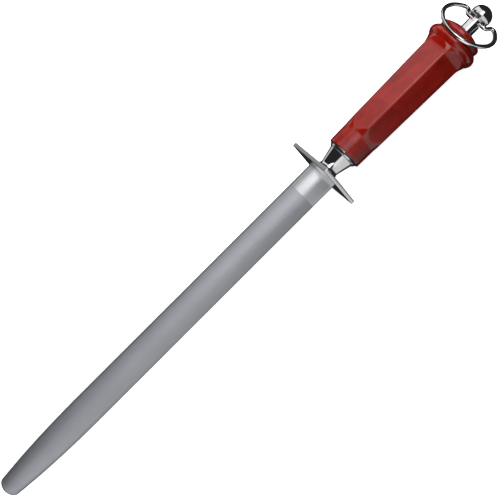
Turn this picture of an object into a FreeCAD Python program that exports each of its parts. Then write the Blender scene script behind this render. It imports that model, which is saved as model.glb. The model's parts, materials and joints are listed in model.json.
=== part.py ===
import FreeCAD, Part
import math
import os

from FreeCAD import Base

# Knife sharpening steel. Millimetres.
# +X runs along the steel from the blade's tip to the hanging ring, and +Z is up when the steel lies on
# one side of its square guard. The origin is where the steel's axis meets the guard's blade-side face.
# Each piece is modelled with +Y across the blade's width and +Z out of its wide face, and all of them
# are turned together about the axis at the end, because the guard's corners point along those two.

# Blade
BLADE_LENGTH = 304.0            # guard face to the crown of the tip
BLADE_WIDTH = 22.0
BLADE_THICKNESS = 9.5
BLADE_EDGE_RADIUS = 3.2         # small arcs of the flat-oval section
TAPER_LENGTH = 79.0             # the last part of the blade, which narrows to the tip
TIP_WIDTH_SHARE = 0.673         # the tip's width as a share of the blade's
TIP_THICKNESS_SHARE = 0.842
TIP_EDGE_SHARE = 0.875
TIP_END_RADIUS = 11.5           # rounding of the tip's end, seen from above
TIP_CHAMFER = 0.9
TAPER_SECTIONS = 6
TIP_SPARE = 2.0                 # extra length that the rounded end is cut from

# Guard
GUARD_SIDE = 40.7
GUARD_THICKNESS = 3.0
GUARD_CORNER_RADIUS = 1.0
GUARD_CHAMFER = 0.35
GUARD_TURN = 45.0               # degrees, so that a corner points along the blade's width
SEAT_DEPTH = 1.0                # the blade's shoulder sits this deep in the guard
SEAT_CLEARANCE = 0.1

# Tang
TANG_WIDTH = 10.0
TANG_STEP = 0.5                 # the flat part is this much thicker than the round end
TANG_FLAT_END = 60.0            # how far the flat part reaches past the guard's face
TANG_ROD_DIAMETER = 6.0
TANG_CLEARANCE = 0.15
TANG_END_CHAMFER = 0.6
TANG_BORE_SPARE = 0.5           # the handle's slot goes this much deeper than the flat part

# Bolster
BOLSTER_FOOT_RADIUS = 10.8
BOLSTER_FOOT_EDGE = 0.4
BOLSTER_WAIST_WALL = 0.98       # metal between the tang slot's corners and the waist
BOLSTER_CONE_RADIUS = 9.85
BOLSTER_LENGTH = 15.4
SPIGOT_WALL = 0.33              # metal between the tang slot's corners and the spigot's outside
SPIGOT_LENGTH = 7.0
SPIGOT_CLEARANCE = 0.05
SPIGOT_END_GAP = 0.5

# Ferrule ring
FERRULE_LENGTH = 2.2
FERRULE_LIP = 1.05              # the front edge stands out this far round the bolster's cone
FERRULE_INSET = 0.5             # the back edge is this much smaller than the handle's collar
FERRULE_ROUNDING_SHARE = 0.25
FERRULE_BOW = 0.15              # hollow of the flare

# Handle
COLLAR_RADIUS = 13.0
COLLAR_SWELL = 0.25             # how much the collar widens before the shoulder
COLLAR_LENGTH = 15.4
COLLAR_EDGE_RADIUS = 0.3
SHOULDER_LENGTH = 5.6           # from the collar to where the ridges stand free
SHOULDER_CROWN_SHARE = 0.55
SHOULDER_HOLLOW = 0.1
GRIP_FRONT_APOTHEM = 13.4       # half the width across flats at the collar
GRIP_BACK_APOTHEM = 14.95       # half the width across flats before the bead
GRIP_LENGTH = 76.4              # straight part of the six flats, from the collar's end
RIDGE_RADIUS = 3.3              # rounding of the ridges between the flats
RIDGE_FRONT_SPARE = 0.3         # the turned outline stands this far clear of the ridges
RIDGE_BACK_SPARE = 0.2
SCOOP_LENGTH = 7.5              # where the flats curve up to the bead
SCOOP_RISE = 2.1
SCOOP_SHARES = (0.0, 0.25, 0.5, 0.75, 1.0, 1.25, 1.5)
SCOOP_END_RISES = 2.6           # rise of the flats behind the bead, in scoop rises
BEAD_CREST_HEIGHT = 4.15        # heights over the flats before the bead
BEAD_ROOT_HEIGHT = 2.1
BEAD_WIDTH = 8.4
BEAD_OVERLAP = 0.2              # the bead starts this much before the scoop's end
NOTCH_HEIGHT = 0.35
NOTCH_WIDTH = 1.7
NOTCH_RISE = 0.2
DISC_HEIGHT = 1.25
DISC_WIDTH = 3.6
DISC_EDGE_DROP = 0.3
DISC_SHARE = 1 / 3              # the disc's rounded front takes this share, and as much again
DOME_HEIGHT = 4.7

# Sleeve nut and its washers
SLEEVE_WALL = 2.0               # round the tang's threaded end
SLEEVE_STAND_OUT = 7.6          # how far the sleeve nut stands out of the dome
SLEEVE_DEPTH = 12.5             # handle's shoulder below the dome's crown
SLEEVE_FRONT_WALL = 5.0
SLEEVE_EDGE_CHAMFER = 0.4
SLEEVE_BORE_CLEARANCE = 0.15
THREAD_CLEARANCE = 0.05
THREAD_GAP = 2.4                # between the tang's end and the pin's head
CLAMP_WASHER_THICKNESS = 1.0
SPRING_WASHER_THICKNESS = 1.5
SPRING_WASHER_WIDTH = 1.5
SPRING_WASHER_GAP = 0.8
WASHER_EDGE = 0.1               # washers are this much smaller than the nut

# Ball pin
BALL_RADIUS = 7.8
BALL_BACK_SHARE = 0.923         # the ball is flat towards the neck, out to this share of its radius
NECK_RADIUS = 3.2
NECK_WALL = 0.35                # beside the cross hole
SHANK_RADIUS = 2.0
SHANK_CLEARANCE = 0.05
AXIAL_PLAY = 0.1
RETAINER_THICKNESS = 0.8
RETAINER_EDGE_CLEARANCE = 0.15
PEEN_SHARE = 0.57               # how much of the room round the shank its peened head takes
PEEN_HEIGHT = 0.9
SWIVEL_REST_ROLL = 12.0         # degrees that the ball pin is turned at rest

# Hanging ring
WIRE_RADIUS = 1.5
CROSS_HOLE_CLEARANCE = 0.06
RING_RADIUS = 20.1              # centre line of the main bow
RING_FLANK_CLEARANCE = 0.25     # between the ball and the two inner flanks
RING_BEND_RADIUS = 3.6
RING_LOBE_SPARE = 0.9           # inside radius of the two lobes
RING_END_GAP = 0.8              # between the two wire ends inside the neck
RING_REST_GAP = 0.1

# Lie of the whole steel
LYING_TURN = 45.0               # degrees from the guard's corner down to its side down

# Sizes that follow from the ones above
TIP_WIDTH = BLADE_WIDTH * TIP_WIDTH_SHARE
TIP_THICKNESS = BLADE_THICKNESS * TIP_THICKNESS_SHARE
TIP_EDGE_RADIUS = BLADE_EDGE_RADIUS * TIP_EDGE_SHARE
TANG_ROD_RADIUS = TANG_ROD_DIAMETER / 2
TANG_THICKNESS = TANG_ROD_DIAMETER + TANG_STEP
SLOT_REACH = math.hypot(TANG_WIDTH / 2 + TANG_CLEARANCE, TANG_THICKNESS / 2 + TANG_CLEARANCE)
BOLSTER_WAIST_RADIUS = SLOT_REACH + BOLSTER_WAIST_WALL
SPIGOT_RADIUS = SLOT_REACH + SPIGOT_WALL
FERRULE_FRONT_RADIUS = BOLSTER_CONE_RADIUS + FERRULE_LIP
FERRULE_BACK_RADIUS = COLLAR_RADIUS - FERRULE_INSET
BEAD_CREST_RADIUS = GRIP_BACK_APOTHEM + BEAD_CREST_HEIGHT
BEAD_ROOT_RADIUS = GRIP_BACK_APOTHEM + BEAD_ROOT_HEIGHT
NOTCH_RADIUS = GRIP_BACK_APOTHEM + NOTCH_HEIGHT
DISC_RADIUS = GRIP_BACK_APOTHEM + DISC_HEIGHT
SLEEVE_RADIUS = TANG_ROD_RADIUS + SLEEVE_WALL
THREAD_BORE = TANG_ROD_RADIUS + THREAD_CLEARANCE
PEEN_RADIUS = SHANK_RADIUS + (THREAD_BORE - SHANK_RADIUS) * PEEN_SHARE
BALL_BACK_RADIUS = BALL_RADIUS * BALL_BACK_SHARE
CROSS_HOLE_RADIUS = WIRE_RADIUS + CROSS_HOLE_CLEARANCE
NECK_LENGTH = 2 * (CROSS_HOLE_RADIUS + NECK_WALL)
RING_FLANK = BALL_RADIUS + WIRE_RADIUS + RING_FLANK_CLEARANCE
RING_LOBE_RADIUS = WIRE_RADIUS + RING_LOBE_SPARE
RING_LOBE_U = RING_FLANK + RING_LOBE_RADIUS
RING_DROP = math.sqrt((RING_RADIUS - RING_LOBE_RADIUS)**2 - RING_LOBE_U**2) - RING_BEND_RADIUS

# Places along the axis that follow from the sizes above
BOLSTER_BACK = GUARD_THICKNESS + BOLSTER_LENGTH
HANDLE_FRONT = BOLSTER_BACK + FERRULE_LENGTH
COLLAR_END = HANDLE_FRONT + COLLAR_LENGTH
GRIP_END = COLLAR_END + GRIP_LENGTH
SCOOP_END = GRIP_END + SCOOP_LENGTH
BEAD_START = SCOOP_END - BEAD_OVERLAP
BEAD_CREST = BEAD_START + BEAD_WIDTH / 2
BEAD_END = BEAD_START + BEAD_WIDTH
NOTCH_END = BEAD_END + NOTCH_WIDTH
DOME_START = NOTCH_END + DISC_WIDTH
DOME_CROWN = DOME_START + DOME_HEIGHT
SLEEVE_SHOULDER = DOME_CROWN - SLEEVE_DEPTH
SLEEVE_START = SLEEVE_SHOULDER + CLAMP_WASHER_THICKNESS + SPRING_WASHER_THICKNESS
SLEEVE_END = DOME_CROWN + SLEEVE_STAND_OUT
RETAINER_BACK = SLEEVE_END - SLEEVE_FRONT_WALL - AXIAL_PLAY
RETAINER_FRONT = RETAINER_BACK - RETAINER_THICKNESS
PIN_TAIL = RETAINER_FRONT - PEEN_HEIGHT
TANG_END = PIN_TAIL - THREAD_GAP
NECK_START = SLEEVE_END + AXIAL_PLAY
NECK_END = NECK_START + NECK_LENGTH
HINGE_X = (NECK_START + NECK_END) / 2
BALL_CENTRE = NECK_END + math.sqrt(BALL_RADIUS**2 - BALL_BACK_RADIUS**2)

AXIS = Base.Vector(1, 0, 0)
ORIGIN = Base.Vector(0, 0, 0)
HALF_ROOT = math.sqrt(0.5)
NEAR = 0.01                     # for telling edges apart
REACH_PAST = 1.0                # tools that cut reach this far past what they cut


def point(x, y=0.0, z=0.0):
    return Base.Vector(x, y, z)


def arc_radius(chord, rise):
    """Radius of an arc from its chord and how far it rises above it."""
    return (chord**2 / 4 + rise**2) / (2 * rise)


def arc_through(start, middle, end):
    """An arc in the XZ half-plane, each point given as (x, radius)."""
    ends = [point(x, 0, r) for x, r in (start, middle, end)]
    return Part.Arc(*ends).toShape()


def line(start, end):
    return Part.LineSegment(point(start[0], 0, start[1]), point(end[0], 0, end[1])).toShape()


def turned(edges):
    """Solid of revolution about the steel's axis from a closed outline in the XZ half-plane."""
    outline = Part.Wire(Part.__sortEdges__(edges))
    return Part.Face(outline).revolve(ORIGIN, AXIS, 360)


def rod(radius, start, end):
    return Part.makeCylinder(radius, end - start, point(start), AXIS)


def polyline(points):
    return [line(a, b) for a, b in zip(points, points[1:])]


def oval_wire(x, width, thickness, edge_radius):
    """Flat-oval section at x: two large arcs for the faces and two small arcs for the edges."""
    a = width / 2
    b = thickness / 2
    edge_centre = a - edge_radius
    face_radius = (edge_centre**2 + b**2 - edge_radius**2) / (2 * (b - edge_radius))
    face_centre = face_radius - b
    reach = edge_radius / (face_radius - edge_radius)
    joint_y = edge_centre * (1 + reach)
    joint_z = face_centre * reach
    corners = [(joint_y, -joint_z), (joint_y, joint_z), (-joint_y, joint_z), (-joint_y, -joint_z)]
    crowns = [(a, 0), (0, b), (-a, 0), (0, -b)]
    edges = []
    for index in range(4):
        start = point(x, *corners[index])
        middle = point(x, *crowns[index])
        end = point(x, *corners[(index + 1) % 4])
        edges.append(Part.Arc(start, middle, end).toShape())
    return Part.Wire(edges)


def tang_bar(start, end, grow):
    """The flat part of the tang, or the slot that it fits when grow is its clearance."""
    width = TANG_WIDTH + 2 * grow
    thickness = TANG_THICKNESS + 2 * grow
    return Part.makeBox(end - start, width, thickness, point(start, -width / 2, -thickness / 2))


def blade_body():
    straight_end = -(BLADE_LENGTH - TAPER_LENGTH)
    root = oval_wire(SEAT_DEPTH, BLADE_WIDTH, BLADE_THICKNESS, BLADE_EDGE_RADIUS)
    straight = Part.Face(root).extrude(point(straight_end - SEAT_DEPTH))
    sections = []
    for index in range(TAPER_SECTIONS + 1):
        share = index / TAPER_SECTIONS * (1 + TIP_SPARE / TAPER_LENGTH)
        narrowing = share**2
        width = BLADE_WIDTH - (BLADE_WIDTH - TIP_WIDTH) * narrowing
        thickness = BLADE_THICKNESS - (BLADE_THICKNESS - TIP_THICKNESS) * narrowing
        edge_radius = BLADE_EDGE_RADIUS - (BLADE_EDGE_RADIUS - TIP_EDGE_RADIUS) * narrowing
        sections.append(oval_wire(straight_end - TAPER_LENGTH * share, width, thickness, edge_radius))
    taper = Part.makeLoft(sections, True, False)
    return straight.fuse(taper)


def round_tip(body):
    """Cuts the tip to its rounded end and takes off the sharp rim."""
    end_centre = -BLADE_LENGTH + TIP_END_RADIUS
    low_centre = point(end_centre, 0, -BLADE_THICKNESS)
    end_round = Part.makeCylinder(TIP_END_RADIUS, 2 * BLADE_THICKNESS, low_centre)
    keep = Part.makeBox(SEAT_DEPTH - end_centre, 2 * BLADE_WIDTH, 2 * BLADE_THICKNESS,
                        point(end_centre, -BLADE_WIDTH, -BLADE_THICKNESS))
    tip = body.common(end_round.fuse(keep))
    tip = tip.Solids[0]
    ends = [face for face in tip.Faces if face.BoundBox.XMax < end_centre]
    rim = [edge for face in ends for edge in face.Edges if edge.BoundBox.ZLength < BLADE_THICKNESS]
    return tip.makeChamfer(TIP_CHAMFER, rim)


def sharpening_rod():
    blade = round_tip(blade_body())
    flat = tang_bar(SEAT_DEPTH, TANG_FLAT_END, 0.0)
    tail = rod(TANG_ROD_RADIUS, TANG_FLAT_END, TANG_END)
    rim = [edge for edge in tail.Edges if edge.BoundBox.XMin > TANG_END - NEAR]
    tail = tail.makeChamfer(TANG_END_CHAMFER, rim)
    return blade.fuse(flat).fuse(tail)


def guard_plate():
    half = GUARD_SIDE / 2
    plate = Part.makeBox(GUARD_THICKNESS, GUARD_SIDE, GUARD_SIDE, point(0, -half, -half))
    corners = [edge for edge in plate.Edges if edge.BoundBox.XLength > GUARD_THICKNESS / 2]
    plate = plate.makeFillet(GUARD_CORNER_RADIUS, corners)
    rims = [edge for edge in plate.Edges if edge.BoundBox.XLength < GUARD_THICKNESS / 2]
    plate = plate.makeChamfer(GUARD_CHAMFER, rims)
    plate.rotate(ORIGIN, AXIS, GUARD_TURN)
    seat_wire = oval_wire(0, BLADE_WIDTH + 2 * SEAT_CLEARANCE, BLADE_THICKNESS + 2 * SEAT_CLEARANCE,
                          BLADE_EDGE_RADIUS + SEAT_CLEARANCE)
    seat = Part.Face(seat_wire).extrude(point(SEAT_DEPTH))
    slot = tang_bar(0, GUARD_THICKNESS, TANG_CLEARANCE)
    return plate.cut(seat).cut(slot)


def bolster():
    front = GUARD_THICKNESS
    fillet = BOLSTER_FOOT_RADIUS - BOLSTER_WAIST_RADIUS
    waist = front + BOLSTER_FOOT_EDGE + fillet
    turn = fillet * (1 - HALF_ROOT)
    middle = (waist - fillet + turn, BOLSTER_WAIST_RADIUS + turn)
    edges = polyline([(waist, BOLSTER_WAIST_RADIUS), (BOLSTER_BACK, BOLSTER_CONE_RADIUS),
                      (BOLSTER_BACK, SPIGOT_RADIUS), (BOLSTER_BACK + SPIGOT_LENGTH, SPIGOT_RADIUS),
                      (BOLSTER_BACK + SPIGOT_LENGTH, 0), (front, 0), (front, BOLSTER_FOOT_RADIUS),
                      (front + BOLSTER_FOOT_EDGE, BOLSTER_FOOT_RADIUS)])
    edges.append(arc_through((front + BOLSTER_FOOT_EDGE, BOLSTER_FOOT_RADIUS), middle,
                             (waist, BOLSTER_WAIST_RADIUS)))
    return turned(edges).cut(tang_bar(front, BOLSTER_BACK + SPIGOT_LENGTH, TANG_CLEARANCE))


def ferrule_ring():
    """Lip between the bolster's cone and the handle: a rounded front edge, then a flare."""
    bore = SPIGOT_RADIUS + SPIGOT_CLEARANCE
    rounding = FERRULE_LENGTH * FERRULE_ROUNDING_SHARE
    front_top = (BOLSTER_BACK + rounding, FERRULE_FRONT_RADIUS)
    front_side = (BOLSTER_BACK, FERRULE_FRONT_RADIUS - rounding)
    slack = rounding * (1 - HALF_ROOT)
    edges = polyline([front_side, (BOLSTER_BACK, bore), (HANDLE_FRONT, bore),
                      (HANDLE_FRONT, FERRULE_BACK_RADIUS)])
    bow = ((front_top[0] + HANDLE_FRONT) / 2 + FERRULE_BOW,
           (FERRULE_FRONT_RADIUS + FERRULE_BACK_RADIUS) / 2 - FERRULE_BOW)
    edges.append(arc_through((HANDLE_FRONT, FERRULE_BACK_RADIUS), bow, front_top))
    edges.append(arc_through(front_top, (BOLSTER_BACK + slack, FERRULE_FRONT_RADIUS - slack), front_side))
    return turned(edges)


def handle_outline():
    """Turned outline of the handle, from its front face over the bead to the dome's crown."""
    edge = COLLAR_EDGE_RADIUS
    slack = edge * (1 - HALF_ROOT)
    collar_back = COLLAR_RADIUS + COLLAR_SWELL
    ridge_front = ridge_reach(GRIP_FRONT_APOTHEM) + RIDGE_FRONT_SPARE
    ridge_back = ridge_reach(GRIP_BACK_APOTHEM) + RIDGE_BACK_SPARE
    shoulder_end = COLLAR_END + SHOULDER_LENGTH
    shoulder_middle = (COLLAR_END + SHOULDER_LENGTH * SHOULDER_CROWN_SHARE,
                       (collar_back + ridge_front) / 2 - SHOULDER_HOLLOW)
    bead_root = (BEAD_START, BEAD_ROOT_RADIUS)
    notch_front = (NOTCH_END - NOTCH_WIDTH * DISC_SHARE, NOTCH_RADIUS)
    disc_front = (NOTCH_END, NOTCH_RADIUS + NOTCH_RISE)
    disc_edge = DISC_WIDTH * DISC_SHARE
    disc_middle = (NOTCH_END + disc_edge / 2, DISC_RADIUS - DISC_EDGE_DROP / 2)
    disc_top = (NOTCH_END + 2 * disc_edge, DISC_RADIUS)
    dome_edge = (DOME_START, DISC_RADIUS - DISC_EDGE_DROP)
    crown = (DOME_CROWN, 0.0)
    dome_radius = arc_radius(2 * dome_edge[1], DOME_HEIGHT)
    half_way = dome_edge[1] / 2
    dome_middle = (DOME_CROWN - dome_radius + math.sqrt(dome_radius**2 - half_way**2), half_way)
    edges = polyline([(HANDLE_FRONT, 0), (HANDLE_FRONT, COLLAR_RADIUS - edge)])
    edges.append(arc_through((HANDLE_FRONT, COLLAR_RADIUS - edge),
                             (HANDLE_FRONT + slack, COLLAR_RADIUS - slack),
                             (HANDLE_FRONT + edge, COLLAR_RADIUS)))
    edges += polyline([(HANDLE_FRONT + edge, COLLAR_RADIUS), (COLLAR_END, collar_back)])
    edges.append(arc_through((COLLAR_END, collar_back), shoulder_middle, (shoulder_end, ridge_front)))
    edges += polyline([(shoulder_end, ridge_front), (GRIP_END, ridge_back), bead_root])
    edges.append(arc_through(bead_root, (BEAD_CREST, BEAD_CREST_RADIUS), (BEAD_END, BEAD_ROOT_RADIUS)))
    edges += polyline([(BEAD_END, BEAD_ROOT_RADIUS), notch_front, disc_front])
    edges.append(arc_through(disc_front, disc_middle, disc_top))
    edges += polyline([disc_top, dome_edge])
    edges.append(arc_through(dome_edge, dome_middle, crown))
    edges += polyline([crown, (HANDLE_FRONT, 0)])
    return edges


def ridge_reach(apothem):
    """Distance from the axis to the crown of a rounded ridge."""
    return (apothem - RIDGE_RADIUS) / math.cos(math.radians(30)) + RIDGE_RADIUS


def hexagon_wire(x, apothem):
    """Six-sided section at x with rounded ridges, one ridge towards +Z."""
    ridge_centre = (apothem - RIDGE_RADIUS) / math.cos(math.radians(30))
    edges = []
    for index in range(6):
        ridge = math.radians(90 + 60 * index)
        after = ridge + math.radians(60)
        centre = point(x, ridge_centre * math.cos(ridge), ridge_centre * math.sin(ridge))
        next_centre = point(x, ridge_centre * math.cos(after), ridge_centre * math.sin(after))
        points = []
        for turn in (-30, 0, 30):
            angle = ridge + math.radians(turn)
            points.append(centre + point(0, RIDGE_RADIUS * math.cos(angle), RIDGE_RADIUS * math.sin(angle)))
        flat = ridge + math.radians(30)
        flat_end = next_centre + point(0, RIDGE_RADIUS * math.cos(flat), RIDGE_RADIUS * math.sin(flat))
        edges.append(Part.Arc(*points).toShape())
        edges.append(Part.LineSegment(points[2], flat_end).toShape())
    return Part.Wire(edges)


def six_sided_envelope():
    """Tapered six-sided bar whose flats curve up into the bead and stand clear of all behind it."""
    front = hexagon_wire(HANDLE_FRONT, GRIP_FRONT_APOTHEM)
    collar_end = hexagon_wire(COLLAR_END, GRIP_FRONT_APOTHEM)
    straight_end = hexagon_wire(GRIP_END, GRIP_BACK_APOTHEM)
    slope = (GRIP_BACK_APOTHEM - GRIP_FRONT_APOTHEM) / GRIP_LENGTH
    scoop = []
    for share in SCOOP_SHARES:
        rise = slope * SCOOP_LENGTH * share + SCOOP_RISE * share**2
        scoop.append(hexagon_wire(GRIP_END + SCOOP_LENGTH * share, GRIP_BACK_APOTHEM + rise))
    behind = hexagon_wire(DOME_CROWN + REACH_PAST, GRIP_BACK_APOTHEM + SCOOP_END_RISES * SCOOP_RISE)
    bars = [Part.makeLoft([front, collar_end], True, True),
            Part.makeLoft([collar_end, straight_end], True, True),
            Part.makeLoft(scoop, True, False),
            Part.makeLoft([scoop[-1], behind], True, True)]
    whole = bars[0]
    for bar in bars[1:]:
        whole = whole.fuse(bar)
    return whole


def handle_grip():
    body = turned(handle_outline()).common(six_sided_envelope())
    spigot_end = BOLSTER_BACK + SPIGOT_LENGTH + SPIGOT_END_GAP
    spigot_hole = rod(SPIGOT_RADIUS + SPIGOT_CLEARANCE, HANDLE_FRONT, spigot_end)
    slot = tang_bar(HANDLE_FRONT, TANG_FLAT_END + TANG_BORE_SPARE, TANG_CLEARANCE)
    bore = rod(TANG_ROD_RADIUS + TANG_CLEARANCE, HANDLE_FRONT, DOME_CROWN)
    sleeve_hole = rod(SLEEVE_RADIUS + SLEEVE_BORE_CLEARANCE, SLEEVE_SHOULDER, DOME_CROWN + REACH_PAST)
    return body.cut(spigot_hole).cut(slot).cut(bore).cut(sleeve_hole)


def clamp_washer():
    outer = rod(SLEEVE_RADIUS - WASHER_EDGE, SLEEVE_SHOULDER, SLEEVE_SHOULDER + CLAMP_WASHER_THICKNESS)
    return outer.cut(rod(TANG_ROD_RADIUS + TANG_CLEARANCE, SLEEVE_SHOULDER, SLEEVE_START))


def spring_washer():
    """Split washer, shown pressed flat between the clamp washer and the nut."""
    front = SLEEVE_START - SPRING_WASHER_THICKNESS
    inner_radius = TANG_ROD_RADIUS + TANG_CLEARANCE
    outer_radius = inner_radius + SPRING_WASHER_WIDTH
    washer = rod(outer_radius, front, SLEEVE_START)
    washer = washer.cut(rod(inner_radius, front, SLEEVE_START))
    gap = Part.makeBox(SPRING_WASHER_THICKNESS, SPRING_WASHER_GAP, outer_radius + REACH_PAST,
                       point(front, -SPRING_WASHER_GAP / 2, 0))
    return washer.cut(gap)


def swivel_sleeve_nut():
    sleeve = rod(SLEEVE_RADIUS, SLEEVE_START, SLEEVE_END)
    ends = [edge for edge in sleeve.Edges if edge.BoundBox.XLength < NEAR]
    sleeve = sleeve.makeChamfer(SLEEVE_EDGE_CHAMFER, ends)
    thread = rod(THREAD_BORE, SLEEVE_START, SLEEVE_END - SLEEVE_FRONT_WALL)
    pin_bore = rod(SHANK_RADIUS + SHANK_CLEARANCE, SLEEVE_START, SLEEVE_END)
    return sleeve.cut(thread).cut(pin_bore)


def retaining_washer():
    washer = rod(THREAD_BORE - RETAINER_EDGE_CLEARANCE, RETAINER_FRONT, RETAINER_BACK)
    return washer.cut(rod(SHANK_RADIUS, RETAINER_FRONT, RETAINER_BACK))


def rolled(shape):
    """Turns a piece of the swivel about the steel's axis to its rest position."""
    turned_copy = shape.copy()
    turned_copy.rotate(ORIGIN, AXIS, -SWIVEL_REST_ROLL)
    return turned_copy


def swivel_ball_pin():
    ball = Part.makeSphere(BALL_RADIUS, point(BALL_CENTRE))
    behind = rod(BALL_RADIUS + REACH_PAST, BALL_CENTRE - BALL_RADIUS - REACH_PAST, NECK_END)
    pin = ball.cut(behind).fuse(rod(NECK_RADIUS, NECK_START, NECK_END))
    pin = pin.fuse(rod(SHANK_RADIUS, RETAINER_FRONT, NECK_START))
    pin = pin.fuse(rod(PEEN_RADIUS, PIN_TAIL, RETAINER_FRONT))
    reach = NECK_RADIUS + REACH_PAST
    across = Base.Vector(0, 1, 0)
    cross_hole = Part.makeCylinder(CROSS_HOLE_RADIUS, 2 * reach, point(HINGE_X, -reach, 0), across)
    return rolled(pin.cut(cross_hole))


def ring_rest_angle():
    """Angle between the ring's plane and the steel's axis with the bow resting on the bead."""
    bead_arc = arc_radius(BEAD_WIDTH, BEAD_CREST_RADIUS - BEAD_ROOT_RADIUS)
    back = HINGE_X - BEAD_CREST
    up = BEAD_CREST_RADIUS - bead_arc
    reach = RING_DROP + RING_RADIUS
    near = bead_arc + WIRE_RADIUS + RING_REST_GAP
    to_arc = math.hypot(back, up)
    opening = math.acos((reach**2 + to_arc**2 - near**2) / (2 * reach * to_arc))
    return math.atan2(up, back) + opening


def ring_half_path(side):
    """Centre line of one half of the ring, in its own plane: u across, v towards the bow."""
    bend_top = -RING_BEND_RADIUS
    straight_end = RING_FLANK - RING_BEND_RADIUS
    towards = math.atan2(bend_top - RING_DROP, RING_LOBE_U)
    join = (RING_RADIUS * math.cos(towards), RING_DROP + RING_RADIUS * math.sin(towards))
    middle_angle = (towards - math.pi) / 2
    lobe_middle = (RING_LOBE_U + RING_LOBE_RADIUS * math.cos(middle_angle),
                   bend_top + RING_LOBE_RADIUS * math.sin(middle_angle))
    half = HALF_ROOT * RING_BEND_RADIUS
    bend_middle = (straight_end + half, bend_top + half)
    bow_middle_angle = (towards + math.pi / 2) / 2
    bow_middle = (RING_RADIUS * math.cos(bow_middle_angle),
                  RING_DROP + RING_RADIUS * math.sin(bow_middle_angle))

    def place(pair):
        return point(-pair[1], side * pair[0], 0)

    return [Part.LineSegment(place((RING_END_GAP / 2, 0)), place((straight_end, 0))).toShape(),
            Part.Arc(place((straight_end, 0)), place(bend_middle), place((RING_FLANK, bend_top))).toShape(),
            Part.Arc(place((RING_FLANK, bend_top)), place(lobe_middle), place(join)).toShape(),
            Part.Arc(place(join), place(bow_middle), place((0, RING_DROP + RING_RADIUS))).toShape()]


def hanging_ring():
    halves = []
    for side in (1, -1):
        path = Part.Wire(ring_half_path(side))
        circle = Part.makeCircle(WIRE_RADIUS, point(0, side * RING_END_GAP / 2, 0), Base.Vector(0, 1, 0))
        halves.append(path.makePipeShell([Part.Wire(circle)], True, False))
    ring = halves[0].fuse(halves[1]).removeSplitter()
    ring.rotate(ORIGIN, Base.Vector(0, 1, 0), math.degrees(ring_rest_angle()))
    ring.translate(point(HINGE_X))
    return rolled(ring)


PIECES = {
    "sharpening_rod": sharpening_rod,
    "guard_plate": guard_plate,
    "bolster": bolster,
    "ferrule_ring": ferrule_ring,
    "handle_grip": handle_grip,
    "clamp_washer": clamp_washer,
    "spring_washer": spring_washer,
    "swivel_sleeve_nut": swivel_sleeve_nut,
    "retaining_washer": retaining_washer,
    "swivel_ball_pin": swivel_ball_pin,
    "hanging_ring": hanging_ring,
}


def main():
    os.makedirs("parts", exist_ok=True)
    for name, make in PIECES.items():
        shape = make()
        shape.rotate(ORIGIN, AXIS, LYING_TURN)
        shape.exportStep("parts/" + name + ".step")
        print(name, shape.ShapeType, len(shape.Solids), shape.isValid(), round(shape.Volume, 1))
    print("hinge x", round(HINGE_X, 3), "ring rest angle", round(math.degrees(ring_rest_angle()), 3))


main()
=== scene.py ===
"""Looks of a butcher's sharpening steel, built round its packed mechanical frame.

The steel's axis is the frame's X axis. Pieces are shaped with Y across the blade's width and Z out of
its wide face, and are then turned about the axis, because the steel lies on one side of its guard.
"""

import json
import logging
import math
from dataclasses import dataclass
from enum import Enum
from typing import Callable, Sequence

import bmesh
import bpy
from mathutils import Matrix, Vector


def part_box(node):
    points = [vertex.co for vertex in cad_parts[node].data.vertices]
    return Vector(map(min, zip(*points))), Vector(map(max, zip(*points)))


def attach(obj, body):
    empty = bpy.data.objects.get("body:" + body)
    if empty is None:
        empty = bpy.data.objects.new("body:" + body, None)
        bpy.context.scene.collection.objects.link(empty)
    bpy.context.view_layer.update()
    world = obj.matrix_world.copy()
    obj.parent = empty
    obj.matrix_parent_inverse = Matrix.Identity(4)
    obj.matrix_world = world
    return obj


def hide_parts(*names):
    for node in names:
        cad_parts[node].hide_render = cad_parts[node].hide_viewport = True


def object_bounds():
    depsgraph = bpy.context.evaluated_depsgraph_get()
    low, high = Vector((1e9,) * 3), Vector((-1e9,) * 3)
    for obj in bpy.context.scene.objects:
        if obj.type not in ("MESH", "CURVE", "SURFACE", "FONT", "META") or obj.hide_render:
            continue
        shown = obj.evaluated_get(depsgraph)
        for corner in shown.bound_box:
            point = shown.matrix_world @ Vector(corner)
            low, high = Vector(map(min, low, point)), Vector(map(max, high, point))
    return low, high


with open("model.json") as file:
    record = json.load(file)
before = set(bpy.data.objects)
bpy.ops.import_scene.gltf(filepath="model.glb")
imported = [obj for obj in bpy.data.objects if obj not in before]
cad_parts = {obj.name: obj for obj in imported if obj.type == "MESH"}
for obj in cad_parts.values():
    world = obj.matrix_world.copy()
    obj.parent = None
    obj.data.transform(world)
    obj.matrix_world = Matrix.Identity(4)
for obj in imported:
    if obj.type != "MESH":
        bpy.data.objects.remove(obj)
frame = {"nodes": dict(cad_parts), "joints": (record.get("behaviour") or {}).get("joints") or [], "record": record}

CAD_LOW, CAD_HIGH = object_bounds()
MM = 0.001
LYING_TURN = math.radians(45.0)
TURN = Matrix.Rotation(LYING_TURN, 4, "X")
HALF_ROOT = math.sqrt(0.5)

# Sizes that more than one piece takes from the blade and its tang, in millimetres.
BLADE_WIDTH = 22.0
BLADE_THICKNESS = 9.5
BLADE_EDGE = 3.2
SEAT_DEPTH = 1.0
SLOT_HALF_WIDTH = 5.15
SLOT_HALF_HEIGHT = 3.4
SLOT_ROUNDING = 0.4
TANG_FLAT_END = 60.0

Pair = tuple[float, float]
RingShape = Callable[[float], float]
Colour = tuple[float, float, float]

log = logging.getLogger("sharpening_steel")


class Body(Enum):
    """The moving bodies of the frame."""

    STEEL = "steel"
    SWIVEL = "swivel"
    RING = "ring"


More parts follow.
